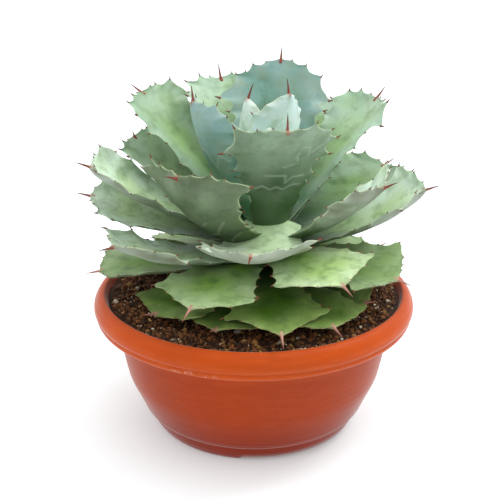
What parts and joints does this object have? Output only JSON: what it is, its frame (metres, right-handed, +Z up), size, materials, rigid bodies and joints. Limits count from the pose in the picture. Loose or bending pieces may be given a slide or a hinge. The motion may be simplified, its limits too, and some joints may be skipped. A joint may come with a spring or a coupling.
{
  "type": "potted agave",
  "caption": "Broad-leaved agave rosette with toothed margins and red end spines, in a round terracotta-coloured bowl pot filled with potting mix.",
  "frame": {"origin": "on the pot's axis, in the plane that its foot stands on", "axes": "+Z up along the pot's axis, -Y toward the side of the plant that faces the viewer, +X to the right"},
  "size_m": [0.2497, 0.2237, 0.2575],
  "materials": {
    "pot": "satin",
    "soil": "matte",
    "stem": "matte",
    "leaf_heart": "matte",
    "leaf_upper": "matte",
    "leaf_middle": "matte",
    "leaf_lower": "satin"
  },
  "bodies": {
    "root": {"pot": "pot", "soil": "soil", "stem": "stem", "leaf_heart_1": "leaf_heart", "leaf_heart_2": "leaf_heart", "leaf_heart_3": "leaf_heart", "leaf_upper_1": "leaf_upper", "leaf_upper_2": "leaf_upper", "leaf_upper_3": "leaf_upper", "leaf_upper_4": "leaf_upper", "leaf_upper_5": "leaf_upper", "leaf_upper_6": "leaf_upper", "leaf_upper_7": "leaf_upper", "leaf_middle_1": "leaf_middle", "leaf_middle_2": "leaf_middle", "leaf_middle_3": "leaf_middle", "leaf_middle_4": "leaf_middle", "leaf_middle_5": "leaf_middle", "leaf_middle_6": "leaf_middle", "leaf_middle_7": "leaf_middle", "leaf_middle_8": "leaf_middle", "leaf_middle_9": "leaf_middle", "leaf_middle_10": "leaf_middle", "leaf_middle_11": "leaf_middle", "leaf_middle_12": "leaf_middle", "leaf_middle_13": "leaf_middle", "leaf_middle_14": "leaf_middle", "leaf_middle_15": "leaf_middle", "leaf_middle_16": "leaf_middle", "leaf_lower_1": "leaf_lower", "leaf_lower_2": "leaf_lower", "leaf_lower_3": "leaf_lower", "leaf_lower_4": "leaf_lower", "leaf_lower_5": "leaf_lower", "leaf_lower_6": "leaf_lower", "leaf_lower_7": "leaf_lower", "leaf_lower_8": "leaf_lower", "leaf_lower_9": "leaf_lower", "leaf_lower_10": "leaf_lower", "leaf_lower_11": "leaf_lower", "leaf_lower_12": "leaf_lower", "leaf_lower_13": "leaf_lower", "leaf_lower_14": "leaf_lower", "leaf_lower_15": "leaf_lower"}
  },
  "joints": []
}
